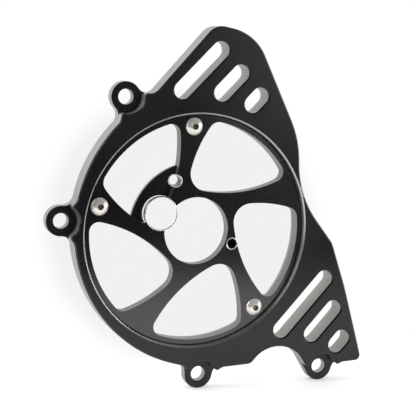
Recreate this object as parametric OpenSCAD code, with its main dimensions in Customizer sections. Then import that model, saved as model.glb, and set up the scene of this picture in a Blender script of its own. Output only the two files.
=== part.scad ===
// Motorcycle front sprocket cover, milled from plate, with a screwed-in spoke insert.
// The cover stands upright: its front looks along -Y, and Z points up.
// The origin lies on the axis of the round insert, in the back plane that meets the engine.
// Every plan point below is [x, z] in millimetres, seen from the front.

/* [Plate] */
// Thickness of the main plate
plate_t = 9.5; // [8:0.5:12]
// Width of the rim round the recess at its narrowest place, on the left
rim_w = 4.25; // [3.5:0.25:6]
// Height of the plate under the recess
under_w = 11.5; // [10.5:0.5:12.5]
// Diameter of the round recess that takes the insert
recess_d = 105; // [95:0.5:115]
// Width of the ledge behind the insert
ledge_w = 2.5; // [2:0.1:3.5]
// Radius of the clearance notch in the bottom edge
notch_r = 15.3; // [14:0.1:16]
// Radius that rounds the left corner of the notch
notch_corner_r = 4; // [2:0.5:5]
// Chamfer of the milled front edges
edge_chamfer = 0.6; // [0.3:0.1:0.8]

/* [Mounting ears] */
// Thickness of the ears at the back plane
ear_t = 4.5; // [3.5:0.5:6]
// Outer radius of an ear
ear_r = 6.7; // [6.2:0.1:7.2]
// Diameter of the bolt holes in the ears
ear_hole_d = 6.8; // [6.2:0.1:7.4]
// Distance by which the spotface for a bolt head runs past the edge of its ear
spot_margin = 0.4; // [0.2:0.1:0.8]
// Radius of the fillets between an ear and the plate
ear_fillet_r = 5; // [4:0.5:6]
// Radius that rounds the ends of a spotface's wall
step_corner_r = 1.5; // [1:0.1:2]

/* [Vent slots] */
// Width of every vent slot
slot_w = 8; // [6:0.2:8.6]
// Centre distance of the long upper slot
upper_slot_long = 24.7; // [20:0.1:27]
// Centre distance of the middle upper slot
upper_slot_mid = 12; // [9:0.1:14]
// Centre distance of the short upper slot
upper_slot_short = 4.9; // [3:0.1:6]
// Tilt of the upper slots
upper_tilt = 43; // [41:0.5:46]
// Centre distance of the long lower slot
lower_slot_long = 31.4; // [26:0.1:34]
// Centre distance of the middle lower slot
lower_slot_mid = 15.6; // [12:0.1:18]
// Centre distance of the short lower slot
lower_slot_short = 4; // [2:0.1:5]
// Tilt of the lower slots
lower_tilt = 45; // [43:0.5:46]

/* [Spoke insert] */
// Thickness of the insert
insert_t = 5; // [4:0.5:5.5]
// Height of the plate front above the insert front
recess_step = 2.5; // [1.5:0.5:3]
// Gap between the insert and the recess wall
insert_gap = 0.15; // [0.1:0.05:0.3]
// Diameter of the hub opening
hub_d = 30.4; // [27:0.2:34]
// Width of the insert's rim outside the windows
insert_rim_w = 2.5; // [2:0.05:4]
// Wall between the hub opening and a window
hub_wall = 3; // [2.4:0.1:4]
// Corner radius of a window beside the hub
inner_corner_r = 8.3; // [7:0.1:9]
// Corner radius of a window at the screwed end of a spoke
spoke_corner_r = 5; // [4:0.1:6]
// Corner radius of a window at its narrow outer tip
tip_corner_r = 4.3; // [3.5:0.1:5]
// Width of the web that fills part of one window beside the hub opening
web_w = 15.6; // [14:0.2:17]
// Thickness of that web
web_t = 1.8; // [1.2:0.2:2.6]

/* [Insert screws] */
// Distance of the screws from the recess wall
screw_inset = 5.5; // [5:0.1:6.5]
// Thread diameter of the button-head screws
screw_d = 4; // [3:0.5:4]
// Diameter of the screw heads
head_d = 8; // [7.4:0.1:8.4]
// Height of the screw heads
head_h = 2.2; // [1.8:0.1:2.4]
// Width across the flats of the hexagon socket
hex_w = 2.5; // [2:0.1:2.8]
// Depth of the hexagon socket
hex_h = 1.3; // [1:0.1:1.5]
// Clearance between a screw and its hole, on the radius
screw_gap = 0.2; // [0.1:0.05:0.3]
// Wall of the threaded lugs on the ledge
lug_wall = 2.4; // [2:0.1:3]

/* [Bright bushes] */
// Outer diameter of the large collar beside the hub
collar_d = 15.6; // [14:0.2:16]
// Wall of the large collar
collar_wall = 0.7; // [0.5:0.1:1.2]
// Outer diameter of the two small bushes
bush_d = 5.9; // [5.5:0.1:6.3]
// Wall of the small bushes
bush_wall = 0.7; // [0.5:0.1:1]
// Thickness of the closed bottom in the lower bush
bush_floor = 0.8; // [0.6:0.1:1.2]
// Clearance between a bush and its bore, on the radius
bush_gap = 0.05; // [0.03:0.01:0.1]

/* [Hidden] */
$fn = 96;
// Overshoot of a cut past the face it leaves
over = 1;
// Small chamfer on bores and turned edges
bore_chamfer = 0.4;
// The hub opening's own, finer chamfer beside the lower bush
hub_chamfer = 0.2;
// Greatest distance between an outline's arc and the true one
arc_error = 0.02;

// Point on a circle
function polar(r, a) = [r * cos(a), r * sin(a)];

// Heights above the back plane
insert_back = plate_t - recess_step - insert_t;
insert_front = plate_t - recess_step;

// Radii that follow from the sizes above
recess_r = recess_d / 2;
hub_r = hub_d / 2;
spot_r = ear_r + spot_margin;
window_r = recess_r - insert_gap - insert_rim_w;
web_r = hub_r + web_w;
lug_r = screw_d / 2 + lug_wall;

// The long outer edge on the left is an arc round this point
edge_c = [8, 2];
edge_r = recess_r + rim_w + norm(edge_c);
// Bolt hole centres of the first three ears, a short way outside that edge
ear1 = edge_c + polar(edge_r + 5.7, 123.5);
ear2 = edge_c + polar(edge_r + 4.8, 174.7);
ear3 = edge_c + polar(edge_r + 4.4, 264.2);
// Centre of the clearance notch, and the last ear to its right
notch_c = polar(recess_r + 29.6, -62);
ear4 = notch_c + polar(notch_r + 8.8, 4.8);

// Corners of the plate from the notch round the right side to the top,
// each [angle, distance beyond the recess wall, radius]
right_side = [
    [-39.5, 55.3, 2.5],
    [-23.4, 28.1, 120],
    [-8.8, 15.5, 9],
    [14.7, -0.8, 45],
    [37.8, 10.9, 45],
    [71.7, 39.1, 22],
    [84, 39.6, 8.5],
];
right_corners = [for (c = right_side) [each polar(recess_r + c[1], c[0]), c[2]]];
// Where the straight edge under the last corner ends, inside the first ear's spotface
horn_foot = polar(recess_r + 11.1, 109.7);
// Points on the two straight bottom edges
bottom_left = [ear3[0], -recess_r - under_w];
bottom_right = [ear4[0], right_corners[0][1]];

// Slots as [angle, distance of the middle beyond the recess wall, centre distance, tilt]
slots = [
    [87.9, 19.3, upper_slot_long, upper_tilt],
    [75.7, 15.3, upper_slot_mid, upper_tilt],
    [63.5, 11.9, upper_slot_short, upper_tilt],
    [-36.3, 12, lower_slot_long, lower_tilt],
    [-37.3, 25.7, lower_slot_mid, lower_tilt],
    [-39.3, 39.2, lower_slot_short, lower_tilt],
];

// Spokes of the insert, counted from the top one, and those that carry a screw
spokes = 5;
top_spoke_a = 90.6;
screw_spokes = [0, 1, 3];
// Sides of the window to the right of the top spoke. The first arc passes a little outside the
// hub's centre, and the second one leaves the wall beside the hub opening.
side_a_r = 56;
side_a = polar(side_a_r - 3.1, 13.2);
side_b_r = 63;
side_b = polar(side_b_r + hub_r + hub_wall, 77.4);

// Centres of the collar and the bushes, round the hub opening
collar_c = polar(hub_r + 3.6, 151.7);
upper_bush_c = polar(hub_r + 9.7, 111.7);
lower_bush_c = polar(hub_r + 3.4, -22.4);

// Points of an arc round c from the direction of p to that of q, turning left (1) or right (-1)
function arc(c, r, p, q, turn) =
    let (
        a0 = angle_of(p - c),
        sweep = ((angle_of(q - c) - a0) * turn % 360 + 360) % 360,
        n = max(2, ceil(sweep / (2 * acos(1 - arc_error / r))))
    )
    [for (i = [0:n]) c + polar(r, a0 + turn * sweep * i / n)];

function angle_of(v) = atan2(v[1], v[0]);
function unit(v) = v / norm(v);

// Point on the far side of m, seen from c
function away(m, c) = m * 2 - c;

// A closed outline without the points that repeat the next one
function joined(points) =
    [for (i = [0:len(points) - 1])
        if (norm(points[i] - points[(i + 1) % len(points)]) > arc_error / 2) points[i]];

// Where two circles meet, to the left of the line from a to b when side is 1
function meet(a, ra, b, rb, side) =
    let (
        d = norm(b - a),
        u = (b - a) / d,
        along = (ra * ra - rb * rb + d * d) / (2 * d),
        off = sqrt(ra * ra - along * along)
    )
    a + u * along + [-u[1], u[0]] * off * side;

// Point at the distance r from c that lies by out to the right of the line from p to q,
// after c along the line when side is 1
function beside(p, q, out, c, r, side) =
    let (
        u = unit(q - p),
        foot = p + u * ((c - p) * u) + [u[1], -u[0]] * out,
        off = norm(c - foot)
    )
    foot + u * side * sqrt(r * r - off * off);

// Arc points that round the corner v between the points p and n
function corner(p, v, n, r) =
    let (
        to_p = unit(p - v),
        to_n = unit(n - v),
        half = acos(to_p * to_n) / 2,
        c = v + unit(to_p + to_n) * r / sin(half),
        t = r / tan(half),
        turn = sign(to_n[0] * to_p[1] - to_n[1] * to_p[0])
    )
    arc(c, r, v + to_p * t, v + to_n * t, turn);

function xz(p) = [p[0], p[1]];

// Rounded points of an open chain of [x, z, radius] corners between two end points
function chain(first, corners, last) =
    let (n = len(corners))
    [for (i = [0:n - 1])
        each corner(
            i == 0 ? first : xz(corners[i - 1]),
            xz(corners[i]),
            i == n - 1 ? last : xz(corners[i + 1]),
            corners[i][2]
        )];

// Centre of a fillet between an ear and the round left edge, the upper one when side is 1
function edge_fillet(c, side) = meet(c, ear_r + ear_fillet_r, edge_c, edge_r + ear_fillet_r, side);

// Centre of a fillet between an ear and the straight edge from p to q
function line_fillet(c, p, q, side) = beside(p, q, ear_fillet_r, c, ear_r + ear_fillet_r, side);

// Straight flank that touches the notch and the last ear
function flank() =
    let (
        d = ear4 - notch_c,
        a = angle_of(d) + acos((notch_r + ear_r) / norm(d))
    )
    [notch_c + polar(notch_r, a), ear4 - polar(ear_r, a)];

// Wall of a spotface round c, with rounded ends that turn away from p and q
function step_arcs(c, p, round_p, round_q, q) = concat(
    arc(round_p, step_corner_r, p, c, 1),
    arc(c, spot_r, round_p, round_q, -1),
    arc(round_q, step_corner_r, c, q, 1)
);

// Outline round the ear at c between the fillets a and b, which touch the plate towards ta and tb.
// Above the ears it follows the spotface.
function bay(c, a, ta, b, tb, above) =
    let (
        ra = meet(c, spot_r + step_corner_r, a, ear_fillet_r + step_corner_r, -1),
        rb = meet(c, spot_r + step_corner_r, b, ear_fillet_r + step_corner_r, 1)
    )
    concat(
        arc(a, ear_fillet_r, ta, ra, -1),
        above
            ? step_arcs(c, a, ra, rb, b)
            : concat(arc(a, ear_fillet_r, ra, c, -1), arc(c, ear_r, a, b, 1), arc(b, ear_fillet_r, c, rb, -1)),
        arc(b, ear_fillet_r, rb, tb, -1)
    );

// The same for the last ear, which runs straight on from the notch
function flank_bay(above) =
    let (
        f = flank(),
        b = line_fillet(ear4, bottom_right, bottom_right + [1, 0], 1),
        ra = beside(f[0], f[1], -step_corner_r, ear4, spot_r + step_corner_r, -1),
        rb = meet(ear4, spot_r + step_corner_r, b, ear_fillet_r + step_corner_r, 1),
        foot = f[0] + unit(f[1] - f[0]) * ((ra - f[0]) * unit(f[1] - f[0]))
    )
    concat(
        [f[0], foot],
        above
            ? step_arcs(ear4, foot, ra, rb, b)
            : concat(arc(ear4, ear_r, f[1], b, 1), arc(b, ear_fillet_r, ear4, rb, -1)),
        arc(b, ear_fillet_r, rb, b + [0, 1], -1)
    );

// Outline of the plate, anticlockwise from the first ear: with the ears, or of what stands above them
function plate_outline(above) =
    let (
        horn_end = xz(right_corners[len(right_corners) - 1]),
        horn_u = unit(horn_foot - horn_end),
        a1 = line_fillet(ear1, horn_end, horn_foot, -1),
        b1 = edge_fillet(ear1, -1),
        a2 = edge_fillet(ear2, 1),
        b2 = edge_fillet(ear2, -1),
        a3 = edge_fillet(ear3, 1),
        b3 = line_fillet(ear3, bottom_left, bottom_left + [1, 0], 1),
        round_n = beside(bottom_left, bottom_left + [1, 0], -notch_corner_r,
            notch_c, notch_r + notch_corner_r, -1)
    )
    joined(concat(
        bay(ear1, a1, horn_foot + (a1 - horn_foot) * horn_u * horn_u, b1, edge_c, above),
        arc(edge_c, edge_r, b1, a2, 1),
        bay(ear2, a2, edge_c, b2, edge_c, above),
        arc(edge_c, edge_r, b2, a3, 1),
        bay(ear3, a3, edge_c, b3, b3 + [0, 1], above),
        arc(round_n, notch_corner_r, round_n - [0, 1], notch_c, 1),
        arc(notch_c, notch_r, round_n, flank()[0], -1),
        flank_bay(above),
        chain(bottom_right, right_corners, horn_foot)
    ));

// One window of the insert: three large arcs with three rounded corners
function window_points() =
    let (
        o = [0, 0],
        a = side_a,
        ra = side_a_r,
        b = side_b,
        rb = side_b_r,
        inner = meet(a, ra - inner_corner_r, b, rb - inner_corner_r, 1),
        tip = meet(b, rb - tip_corner_r, o, window_r - tip_corner_r, 1),
        head = meet(o, window_r - spoke_corner_r, a, ra - spoke_corner_r, 1)
    )
    joined(concat(
        arc(o, window_r, tip, head, 1),
        arc(head, spoke_corner_r, away(head, o), away(head, a), 1),
        arc(a, ra, head, inner, 1),
        arc(inner, inner_corner_r, away(inner, a), away(inner, b), 1),
        arc(b, rb, inner, tip, 1),
        arc(tip, tip_corner_r, away(tip, b), away(tip, o), 1)
    ));

// Turns a part drawn in plan to its upright place, front towards -Y
module upright() rotate([90, 0, 0]) children();

module at(p, h = 0) translate([p[0], p[1], h]) children();

// Round cut through a height, with a chamfer where it leaves the upper face
module bore(r, h0, h1, chamfer) {
    translate([0, 0, h0 - over]) cylinder(r = r, h = h1 - h0 + 2 * over);
    translate([0, 0, h1 - chamfer]) cylinder(r1 = r, r2 = r + chamfer + over, h = chamfer + over);
}

// Slot with round ends, cut right through, with chamfered front edges
module slot(length, tilt) {
    r = slot_w / 2;
    rotate([0, 0, tilt]) {
        translate([-length / 2, -r, -over]) cube([length, slot_w, plate_t + 2 * over]);
        for (side = [-1, 1])
            translate([side * length / 2, 0, 0]) bore(r, 0, plate_t, edge_chamfer);
        translate([-length / 2, 0, plate_t - edge_chamfer])
            rotate([90, 0, 90])
                linear_extrude(length)
                    polygon([[-r, 0], [r, 0], [r + edge_chamfer + over, edge_chamfer + over],
                        [-r - edge_chamfer - over, edge_chamfer + over]]);
    }
}

module main_plate() color([0.09, 0.09, 0.1]) upright() difference() {
    union() {
        linear_extrude(ear_t) polygon(plate_outline(false));
        translate([0, 0, ear_t]) linear_extrude(plate_t - ear_t) polygon(plate_outline(true));
    }
    for (c = [ear1, ear2, ear3, ear4]) at(c) bore(ear_hole_d / 2, 0, ear_t, bore_chamfer);
    // Recess for the insert, and the opening inside its ledge
    at([0, 0]) bore(recess_r, insert_back + over, plate_t, edge_chamfer);
    difference() {
        translate([0, 0, -over]) cylinder(r = recess_r - ledge_w, h = plate_t);
        screw_lugs();
    }
    for (i = screw_spokes) at(screw_place(i), -over) cylinder(d = screw_d, h = plate_t);
    for (s = slots) at(polar(recess_r + s[1], s[0])) slot(s[2], s[3]);
}

function screw_place(i) = polar(recess_r - screw_inset, top_spoke_a + i * 360 / spokes);

// Tabs of the ledge that hold the screw threads, hidden behind the ends of three spokes
module screw_lugs() {
    for (i = screw_spokes)
        at(screw_place(i), -2 * over) cylinder(r = lug_r, h = insert_back + 2 * over);
}

module spoke_insert() color([0.12, 0.12, 0.13]) upright() difference() {
    at([0, 0], insert_back) insert_disc();
    for (i = [1:spokes - 2]) rotate([0, 0, -i * 360 / spokes]) window();
    // The window on the upper left keeps a thin web round the collar
    rotate([0, 0, 360 / spokes]) difference() {
        window();
        translate([0, 0, insert_back - 2 * over]) cylinder(r = web_r, h = web_t + 2 * over);
    }
    window();
    bore(hub_r, insert_back, insert_front, hub_chamfer);
    for (i = screw_spokes)
        at(screw_place(i), insert_back - over) cylinder(d = screw_d + 2 * screw_gap, h = insert_t + 2 * over);
    at(collar_c, insert_back - over) cylinder(r = collar_d / 2 + bush_gap, h = insert_t + 2 * over);
    for (c = [upper_bush_c, lower_bush_c])
        at(c, insert_back - over) cylinder(r = bush_d / 2 + bush_gap, h = insert_t + 2 * over);
}

module insert_disc() {
    r = recess_r - insert_gap;
    cylinder(r = r, h = insert_t - bore_chamfer);
    translate([0, 0, insert_t - bore_chamfer]) cylinder(r1 = r, r2 = r - bore_chamfer, h = bore_chamfer);
}

module window() {
    translate([0, 0, insert_back - over]) linear_extrude(insert_t + 2 * over) polygon(window_points());
}

// Button-head screw with a hexagon socket, drawn at its place in the insert
module screw(i) color([0.78, 0.76, 0.72]) upright() at(screw_place(i), insert_front) {
    dome_r = (pow(head_d / 2, 2) + head_h * head_h) / (2 * head_h);
    difference() {
        intersection() {
            translate([0, 0, head_h - dome_r]) sphere(r = dome_r);
            cylinder(d = head_d, h = head_h + over);
        }
        translate([0, 0, head_h - hex_h])
            cylinder(d = hex_w / cos(30), h = hex_h + over, $fn = 6);
    }
    shank = insert_front - bore_chamfer;
    translate([0, 0, -shank]) cylinder(d = screw_d - 2 * bush_gap, h = shank + head_h / 4);
}

module screw_top() screw(screw_spokes[0]);
module screw_left() screw(screw_spokes[1]);
module screw_lower() screw(screw_spokes[2]);

module tube(d, wall, h) difference() {
    cylinder(d = d, h = h);
    translate([0, 0, -over]) cylinder(d = d - 2 * wall, h = h + 2 * over);
}

module collar_ring() color([0.82, 0.82, 0.82]) upright()
    at(collar_c, insert_back) tube(collar_d, collar_wall, insert_t);

module upper_bush() color([0.82, 0.82, 0.82]) upright()
    at(upper_bush_c, insert_back) tube(bush_d, bush_wall, insert_t);

module lower_bush() color([0.82, 0.82, 0.82]) upright() at(lower_bush_c, insert_back) {
    tube(bush_d, bush_wall, insert_t);
    cylinder(d = bush_d - bush_wall, h = bush_floor);
}

main_plate();
spoke_insert();
screw_top();
screw_left();
screw_lower();
collar_ring();
upper_bush();
lower_bush();
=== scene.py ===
import math

import bmesh
import bpy
from mathutils import Matrix, Vector
from mathutils.bvhtree import BVHTree


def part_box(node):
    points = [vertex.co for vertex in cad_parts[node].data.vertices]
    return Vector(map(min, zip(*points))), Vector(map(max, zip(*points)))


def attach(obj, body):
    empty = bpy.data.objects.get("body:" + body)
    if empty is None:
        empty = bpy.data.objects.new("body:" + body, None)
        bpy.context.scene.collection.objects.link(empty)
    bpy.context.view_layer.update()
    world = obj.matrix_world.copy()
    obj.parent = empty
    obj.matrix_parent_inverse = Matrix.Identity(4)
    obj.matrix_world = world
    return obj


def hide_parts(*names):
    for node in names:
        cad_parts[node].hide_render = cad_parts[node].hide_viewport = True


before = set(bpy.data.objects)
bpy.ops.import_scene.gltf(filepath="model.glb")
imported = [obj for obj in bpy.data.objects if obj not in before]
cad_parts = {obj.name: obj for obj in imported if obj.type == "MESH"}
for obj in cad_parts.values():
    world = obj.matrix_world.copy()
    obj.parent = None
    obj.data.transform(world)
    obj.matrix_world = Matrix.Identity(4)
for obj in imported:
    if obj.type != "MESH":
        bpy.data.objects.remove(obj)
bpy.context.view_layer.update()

scene = bpy.context.scene
mm = 0.001
# Where the front faces of the cover and of its insert lie along Y
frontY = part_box("main_plate")[0][1]
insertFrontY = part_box("spoke_insert")[0][1]


# ---------- materials ----------

# Nearly all of a noise texture's values lie between these two
noiseLow, noiseHigh = 0.3, 0.7

# Milled and anodised aluminium: glossy faces, and rougher walls painted much paler than the
# faces as painted light, for side walls lit by the lamps
anodisedFace = {
    "dark": (0.005, 0.005, 0.006),
    "light": (0.008, 0.008, 0.009),
    "roughness": (0.20, 0.28),
    "roughnessFollows": "broad",
    "broadScale": 28,
    "grainScale": 2600,
    "grainDepth": 0.010 * mm,
    "metallic": 0.0,
    "ior": 1.45,
}
paintedLitWall = {
    "dark": (0.24, 0.23, 0.215),
    "light": (0.34, 0.325, 0.305),
    "roughness": (0.36, 0.48),
    "roughnessFollows": "broad",
    "broadScale": 60,
    "grainScale": 1800,
    "grainDepth": 0.014 * mm,
    "metallic": 0.8,
    "ior": 1.70,
}
steel = {
    "dark": (0.66, 0.63, 0.58),
    "light": (0.84, 0.81, 0.76),
    "roughness": (0.16, 0.28),
    "roughnessFollows": "grain",
    "broadScale": 420,
    "grainScale": 5200,
    "grainDepth": 0.006 * mm,
    "metallic": 0.6,
    "ior": 1.50,
}

# The insert is glossier than the plate; its walls keep the painted light of the walls, painted
# darker as shade inside the windows
insertFace = {**anodisedFace, "roughness": (0.14, 0.20), "ior": 1.75}
insertPaintedWall = {**paintedLitWall, "dark": (0.14, 0.135, 0.13), "light": (0.20, 0.195, 0.185)}

turnedMetal = {
    **steel,
    "dark": (0.40, 0.40, 0.40),
    "light": (0.46, 0.46, 0.45),
    "roughness": (0.30, 0.36),
    "grainDepth": 0.001 * mm,
    "metallic": 1.0,
}
# Dark brown inside the hex sockets: painted shade of the socket's recess
socketPaintedShade = {**steel, "dark": (0.10, 0.08, 0.065), "light": (0.20, 0.165, 0.14)}
ringMetal = {
    **steel,
    "dark": (0.74, 0.73, 0.71),
    "light": (0.86, 0.85, 0.83),
    "metallic": 0.9,
}


def newMaterial(name):
    mat = bpy.data.materials.new(name)
    mat.use_nodes = True
    nodes = mat.node_tree.nodes
    return mat, nodes, mat.node_tree.links, nodes["Principled BSDF"]


def addNoise(nodes, links, coord, scale, detail=3.0):
    noise = nodes.new("ShaderNodeTexNoise")
    noise.inputs["Scale"].default_value = scale
    noise.inputs["Detail"].default_value = detail
    links.new(coord, noise.inputs["Vector"])
    return noise.outputs["Fac"]


def addRange(nodes, links, value, low, high):
    remap = nodes.new("ShaderNodeMapRange")
    remap.inputs["From Min"].default_value = noiseLow
    remap.inputs["From Max"].default_value = noiseHigh
    remap.inputs["To Min"].default_value = low
    remap.inputs["To Max"].default_value = high
    links.new(value, remap.inputs["Value"])
    return remap.outputs["Result"]


def addColours(nodes, links, value, dark, light):
    ramp = nodes.new("ShaderNodeValToRGB")
    ramp.color_ramp.elements[0].position = noiseLow
    ramp.color_ramp.elements[0].color = (*dark, 1)
    ramp.color_ramp.elements[1].position = noiseHigh
    ramp.color_ramp.elements[1].color = (*light, 1)
    links.new(value, ramp.inputs["Fac"])
    return ramp.outputs["Color"]


def finishMaterial(name, values):
    mat, nodes, links, shader = newMaterial(name)
    coord = nodes.new("ShaderNodeTexCoord").outputs["Object"]
    noises = {
        "broad": addNoise(nodes, links, coord, values["broadScale"]),
        "grain": addNoise(nodes, links, coord, values["grainScale"]),
    }
    colours = addColours(nodes, links, noises["broad"], values["dark"], values["light"])
    links.new(colours, shader.inputs["Base Color"])
    roughness = addRange(nodes, links, noises[values["roughnessFollows"]], *values["roughness"])
    links.new(roughness, shader.inputs["Roughness"])
    shader.inputs["Metallic"].default_value = values["metallic"]
    shader.inputs["IOR"].default_value = values["ior"]
    bump = nodes.new("ShaderNodeBump")
    bump.inputs["Distance"].default_value = values["grainDepth"]
    links.new(noises["grain"], bump.inputs["Height"])
    links.new(bump.outputs["Normal"], shader.inputs["Normal"])
    return mat


plateBlack = finishMaterial("plateBlack", anodisedFace)
insertBlack = finishMaterial("insertBlack", insertFace)
# The side walls of the plate and of the insert get paler colours than their faces, as painted
# light
plateWallPaintedLight = finishMaterial("plateWallPaintedLight", paintedLitWall)
insertWallPaintedLight = finishMaterial("insertWallPaintedLight", insertPaintedWall)
stainless = finishMaterial("stainless", steel)
bareEdge = finishMaterial("bareEdge", turnedMetal)
socketShadeSteel = finishMaterial("socketShadeSteel", socketPaintedShade)
brightRing = finishMaterial("brightRing", ringMetal)
print("materials made:", len(bpy.data.materials))


# ---------- pieces made from the CAD nodes ----------

# What counts as one point, one flat face, one level, a sharp edge, a smooth edge and a wall
limits = {
    "weld": 0.001 * mm,
    "flatAngle": math.radians(0.4),
    "level": 0.01 * mm,
    "sharpAngle": math.radians(60),
    "smoothAngle": math.radians(32),
    # The Y part of a face's normal: less than this on a wall, and under this on a front face
    "wall": 0.5,
    "front": -0.9,
}


def mergedCopy(node):
    # The node's mesh in one skin: welded, with flat faces joined up again
    bm = bmesh.new()
    bm.from_mesh(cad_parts[node].data)
    bmesh.ops.remove_doubles(bm, verts=bm.verts, dist=limits["weld"])
    bmesh.ops.dissolve_limit(
        bm, angle_limit=limits["flatAngle"], verts=bm.verts, edges=bm.edges,
    )
    bm.normal_update()
    return bm


def edgeAngle(edge):
    # More than nothing on an outer edge, less in an inner corner
    return edge.calc_face_angle_signed(0.0) if len(edge.link_faces) == 2 else 0.0


def atHeight(edge, y):
    return all(abs(v.co.y - y) < limits["level"] for v in edge.verts)


def bevelEdges(bm, edges, width, segments):
    bmesh.ops.bevel(
        bm, geom=edges, offset=width, offset_type="OFFSET", affect="EDGES",
        segments=segments, profile=0.5, material=-1, clamp_overlap=True,
    )
    bm.normal_update()


def isWall(face):
    # Side walls run along Y, and face away from the front and the back
    return abs(face.normal.y) < limits["wall"]


def isTowards(face, centre):
    # True where a face looks at the axis along Y through the centre
    offset = face.calc_center_median() - centre
    return face.normal.x * offset.x + face.normal.z * offset.z < 0


def isFront(face):
    return face.normal.y < limits["front"]


def awayFrom(face, centre):
    offset = face.calc_center_median() - centre
    return math.hypot(offset.x, offset.z)


def middleOf(node):
    low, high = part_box(node)
    return (Vector(low) + Vector(high)) / 2


def finishPiece(bm, name, node, materials, isSecond=isWall):
    # The faces that isSecond picks get the second material
    for face in bm.faces:
        face.smooth = True
        if len(materials) > 1 and isSecond(face):
            face.material_index = 1
    for edge in bm.edges:
        edge.smooth = abs(edgeAngle(edge)) < limits["smoothAngle"]
    mesh = bpy.data.meshes.new(name)
    bm.to_mesh(mesh)
    bm.free()
    piece = bpy.data.objects.new(name, mesh)
    scene.collection.objects.link(piece)
    for material in materials:
        mesh.materials.append(material)
    normals = piece.modifiers.new("evenShading", "WEIGHTED_NORMAL")
    normals.keep_sharp = True
    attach(piece, "root")
    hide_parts(node)
    return piece


plate = {
    "outerChamfer": 0.7 * mm,
    "edgeRound": 0.22 * mm,
    "roundedFrom": math.radians(40),
    # How far the bare turned edge of the recess reaches outwards and back
    "turnedEdge": 1.1 * mm,
    "flatFront": -0.98,
}


def makePlate():
    bm = mergedCopy("main_plate")
    # The milled front edge is a flat chamfer all round the outline
    outer = [e for e in bm.edges
             if atHeight(e, frontY) and edgeAngle(e) > limits["sharpAngle"]]
    bevelEdges(bm, outer, plate["outerChamfer"], segments=1)
    # The recess and the slots have their chamfer already, and are only broken along the edge
    rest = [e for e in bm.edges if edgeAngle(e) > plate["roundedFrom"]]
    bevelEdges(bm, rest, plate["edgeRound"], segments=2)
    # The walls get the paler colour of painted light
    materials = (plateBlack, plateWallPaintedLight, bareEdge)
    return finishPiece(bm, "coverPlate", "main_plate", materials)


def bareTurnedEdge(piece):
    # The turned edge of the recess has lost its colour
    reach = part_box("spoke_insert")[1][0]
    for polygon in piece.data.polygons:
        away = math.hypot(polygon.center.x, polygon.center.z)
        inRing = reach < away < reach + plate["turnedEdge"]
        nearFront = polygon.center.y < frontY + plate["turnedEdge"]
        if inRing and nearFront and polygon.normal.y > plate["flatFront"]:
            polygon.material_index = 2


coverPlate = makePlate()
bareTurnedEdge(coverPlate)
print("plate:", len(coverPlate.data.polygons), "faces")


insert = {
    "windowRound": 0.25 * mm,
    "edgeRound": 0.15 * mm,
}


def makeInsert():
    bm = mergedCopy("spoke_insert")
    front = [e for e in bm.edges
             if atHeight(e, insertFrontY) and edgeAngle(e) > limits["sharpAngle"]]
    bevelEdges(bm, front, insert["windowRound"], segments=2)
    rest = [e for e in bm.edges if edgeAngle(e) > limits["sharpAngle"]]
    bevelEdges(bm, rest, insert["edgeRound"], segments=2)
    # The walls get the paler colour of painted light, dimmed as painted shade inside the
    # windows
    materials = (insertBlack, insertWallPaintedLight)
    return finishPiece(bm, "spokeInsert", "spoke_insert", materials)


spokeInsert = makeInsert()
print("insert:", len(spokeInsert.data.polygons), "faces")


screw = {
    "edgeRound": 0.08 * mm,
    "roundedFrom": math.radians(50),
    # The socket's reach from the screw's axis, and how far back its bottom lies at least
    "socketReach": 1.5 * mm,
    "bottomFrom": 1.04 * mm,
}


def makeScrew(node, name):
    bm = mergedCopy(node)
    edges = [e for e in bm.edges if edgeAngle(e) > screw["roundedFrom"]]
    bevelEdges(bm, edges, screw["edgeRound"], segments=2)
    centre = middleOf(node)
    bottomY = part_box(node)[0][1] + screw["bottomFrom"]

    # Faces inside the hex socket get the dark colour of painted shade
    def inShadedSocket(face):
        atSide = isWall(face) and isTowards(face, centre)
        atBottom = isFront(face) and face.calc_center_median().y > bottomY
        return awayFrom(face, centre) < screw["socketReach"] and (atSide or atBottom)

    finishPiece(bm, name, node, (stainless, socketShadeSteel), inShadedSocket)


for place in ("top", "left", "lower"):
    makeScrew("screw_" + place, "buttonScrew." + place)
print("screws made")


ring = {
    "lipRound": 0.30 * mm,
    # How deep the collar looks in the photograph
    "collarDepth": 1.8 * mm,
    # How far beside a rim the level is felt, from how far in front, and the least step
    "feelBeside": 0.6 * mm,
    "feelFrom": 5 * mm,
    "leastStep": 1 * mm,
    # How far out the bore's bottom is painted black as shade, as a share of the bush's width
    "bottomShare": 0.3,
}
insertSurface = BVHTree.FromObject(spokeInsert, bpy.context.evaluated_depsgraph_get())


def levelAt(x, z):
    start = Vector((x, frontY - ring["feelFrom"], z))
    hit = insertSurface.ray_cast(start, Vector((0, 1, 0)))[0]
    return hit.y if hit else insertFrontY


def roundLip(bm):
    lip = [e for e in bm.edges
           if edgeAngle(e) > limits["sharpAngle"] and atHeight(e, insertFrontY)]
    bevelEdges(bm, lip, ring["lipRound"], segments=3)


def makeCollar(node, name):
    bm = mergedCopy(node)
    for v in bm.verts:
        v.co.y = min(v.co.y, insertFrontY + ring["collarDepth"])
    roundLip(bm)
    finishPiece(bm, name, node, (brightRing,))


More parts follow.
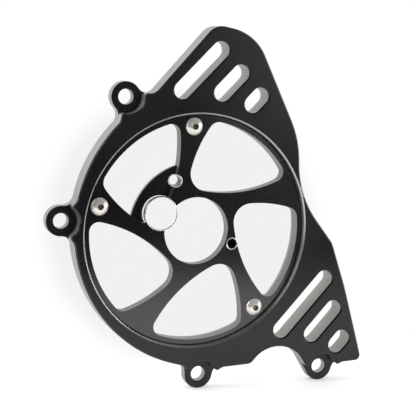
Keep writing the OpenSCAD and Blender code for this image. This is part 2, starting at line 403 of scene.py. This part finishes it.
def makeBush(node, name):
    bm = mergedCopy(node)
    roundLip(bm)
    low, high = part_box(node)
    width = high[0] - low[0]
    centre = middleOf(node)
    # The rim follows the web where the insert steps down beside it
    for v in bm.verts:
        out = Vector((v.co.x - centre.x, 0, v.co.z - centre.z)).normalized()
        felt = centre + out * (width / 2 + ring["feelBeside"])
        step = levelAt(felt.x, felt.z) - insertFrontY
        if step > ring["leastStep"] and v.co.y < insertFrontY + step:
            v.co.y += step

    # The bore's inner wall and bottom take the black plate colour as painted shade
    def isShadedBore(face):
        atSide = isWall(face) and isTowards(face, centre)
        atBottom = isFront(face) and awayFrom(face, centre) < width * ring["bottomShare"]
        return atSide or atBottom

    finishPiece(bm, name, node, (brightRing, plateBlack), isShadedBore)


makeCollar("collar_ring", "collarRing")
makeBush("upper_bush", "upperBush")
makeBush("lower_bush", "lowerBush")
print("rings made")


# ---------- floor ----------

stand = {
    # Bolt centres of the two lower ears in X and Z, and the radius of an ear
    "earLeft": Vector((1.0 * mm, 0, -67.0 * mm)),
    "earRight": Vector((62.5 * mm, 0, -70.5 * mm)),
    "earRadius": 6.7 * mm,
    # How far the floor runs to each side, to the front and to the back
    "side": 1.5,
    "front": 0.25,
    "back": 0.05,
    "colour": (0.92, 0.92, 0.92, 1),
    "roughness": 0.7,
    "specular": 0.2,
    # What the camera sees on top, up to the white of the photograph's floor
    "lift": 0.14,
}


def makeFloor():
    # The floor touches the undersides of both lower ears
    along = (stand["earRight"] - stand["earLeft"]).normalized()
    up = Vector((-along.z, 0, along.x))
    foot = stand["earLeft"] - up * stand["earRadius"]
    halfDepth = (stand["front"] + stand["back"]) / 2
    bm = bmesh.new()
    bmesh.ops.create_grid(bm, x_segments=1, y_segments=1, size=1)
    bmesh.ops.scale(bm, vec=(stand["side"], halfDepth, 1), verts=bm.verts)
    bmesh.ops.translate(bm, vec=(0, stand["back"] - halfDepth, 0), verts=bm.verts)
    tilt = Matrix((along, (0, 1, 0), up)).transposed().to_4x4()
    bmesh.ops.transform(bm, matrix=Matrix.Translation(foot) @ tilt, verts=bm.verts)
    mesh = bpy.data.meshes.new("floor")
    bm.to_mesh(mesh)
    bm.free()
    floor = bpy.data.objects.new("floor", mesh)
    scene.collection.objects.link(floor)
    mat, nodes, links, shader = newMaterial("floorWhite")
    shader.inputs["Base Color"].default_value = stand["colour"]
    shader.inputs["Roughness"].default_value = stand["roughness"]
    shader.inputs["Specular IOR Level"].default_value = stand["specular"]
    # White for the camera, with the object's shadow kept
    shader.inputs["Emission Color"].default_value = (1, 1, 1, 1)
    path = nodes.new("ShaderNodeLightPath")
    lift = nodes.new("ShaderNodeMath")
    lift.operation = "MULTIPLY"
    lift.inputs[1].default_value = stand["lift"]
    links.new(path.outputs["Is Camera Ray"], lift.inputs[0])
    links.new(lift.outputs["Value"], shader.inputs["Emission Strength"])
    mesh.materials.append(mat)


makeFloor()
print("floor made")


# ---------- camera ----------

# The camera that was fitted to the photograph
view = {
    "place": Vector((-0.1908, -0.5074, 0.0958)),
    "yaw": math.radians(21.431),
    "pitch": math.radians(-9.065),
    "roll": math.radians(-0.520),
    "lens": 105.0,
    "sensor": 36,
    "clipStart": 0.01,
}


def makeCamera():
    yaw, pitch, roll = view["yaw"], view["pitch"], view["roll"]
    ahead = Vector((
        math.sin(yaw) * math.cos(pitch),
        math.cos(yaw) * math.cos(pitch),
        math.sin(pitch),
    ))
    level = Vector((math.cos(yaw), -math.sin(yaw), 0))
    upright = level.cross(ahead)
    side = math.cos(roll) * level + math.sin(roll) * upright
    up = math.cos(roll) * upright - math.sin(roll) * level
    data = bpy.data.cameras.new("photoCamera")
    data.sensor_width = view["sensor"]
    data.lens = view["lens"]
    data.clip_start = view["clipStart"]
    camera = bpy.data.objects.new("photoCamera", data)
    scene.collection.objects.link(camera)
    turn = Matrix((side, up, -ahead)).transposed().to_4x4()
    camera.matrix_world = Matrix.Translation(view["place"]) @ turn
    return camera


scene.camera = makeCamera()


# ---------- light ----------

lamps = {
    # Place, width, height, power in watts
    "keyLeft": (Vector((-0.75, 0.06, 0.50)), 0.6, 0.6, 6.0),
    "rightStrip": (Vector((0.90, -0.26, 0.02)), 0.20, 0.6, 4.5),
    "rightPanel": (Vector((0.76, -1.13, 0.15)), 0.5, 0.5, 1.2),
}
# White behind the object, and a soft grey within its windows, as in the photograph
backdrop = {
    "towards": Vector((-0.006, 0, 0.002)),
    "middle": 0.875,
    "outside": 1.0,
    "fadeFrom": 0.096,
    "fadeTo": 0.122,
}
worldLight = {
    # What reflections see before and behind the object, and where along Y it changes
    "front": 0.0,
    "back": 1.15,
    "changeFrom": -0.3,
    "changeTo": 0.4,
    "diffuse": 1.0,
    "strength": 1.0,
}


def addLamp(name, place, width, height, power):
    data = bpy.data.lights.new(name, "AREA")
    data.shape = "RECTANGLE"
    data.size = width
    data.size_y = height
    data.energy = power
    lamp = bpy.data.objects.new(name, data)
    scene.collection.objects.link(lamp)
    lamp.location = place
    lamp.rotation_euler = (-place).to_track_quat("-Z", "Y").to_euler()
    lamp.visible_camera = False


for name, values in lamps.items():
    addLamp(name, *values)


def makeWorld():
    world = bpy.data.worlds.new("studio")
    scene.world = world
    world.use_nodes = True
    nodes, links = world.node_tree.nodes, world.node_tree.links
    background = nodes["Background"]
    direction = nodes.new("ShaderNodeTexCoord").outputs["Generated"]
    split = nodes.new("ShaderNodeSeparateXYZ")
    links.new(direction, split.inputs[0])
    # Reflections see a dark room in front of the object and a white one behind it
    depth = nodes.new("ShaderNodeMapRange")
    depth.inputs["From Min"].default_value = worldLight["changeFrom"]
    depth.inputs["From Max"].default_value = worldLight["changeTo"]
    depth.inputs["To Min"].default_value = worldLight["front"]
    depth.inputs["To Max"].default_value = worldLight["back"]
    links.new(split.outputs["Y"], depth.inputs["Value"])
    path = nodes.new("ShaderNodeLightPath")
    glossy = nodes.new("ShaderNodeMix")
    glossy.inputs["A"].default_value = worldLight["diffuse"]
    links.new(path.outputs["Is Glossy Ray"], glossy.inputs["Factor"])
    links.new(depth.outputs["Result"], glossy.inputs["B"])
    # The camera sees the backdrop
    apart = nodes.new("ShaderNodeVectorMath")
    apart.operation = "DISTANCE"
    apart.inputs[1].default_value = (backdrop["towards"] - view["place"]).normalized()
    links.new(direction, apart.inputs[0])
    fade = nodes.new("ShaderNodeMapRange")
    fade.interpolation_type = "SMOOTHSTEP"
    fade.inputs["From Min"].default_value = backdrop["fadeFrom"]
    fade.inputs["From Max"].default_value = backdrop["fadeTo"]
    fade.inputs["To Min"].default_value = backdrop["middle"]
    fade.inputs["To Max"].default_value = backdrop["outside"]
    links.new(apart.outputs["Value"], fade.inputs["Value"])
    seen = nodes.new("ShaderNodeMix")
    links.new(path.outputs["Is Camera Ray"], seen.inputs["Factor"])
    links.new(glossy.outputs["Result"], seen.inputs["A"])
    links.new(fade.outputs["Result"], seen.inputs["B"])
    links.new(seen.outputs["Result"], background.inputs["Color"])
    background.inputs["Strength"].default_value = worldLight["strength"]


makeWorld()
scene.view_settings.view_transform = "Standard"
print("camera and light placed")
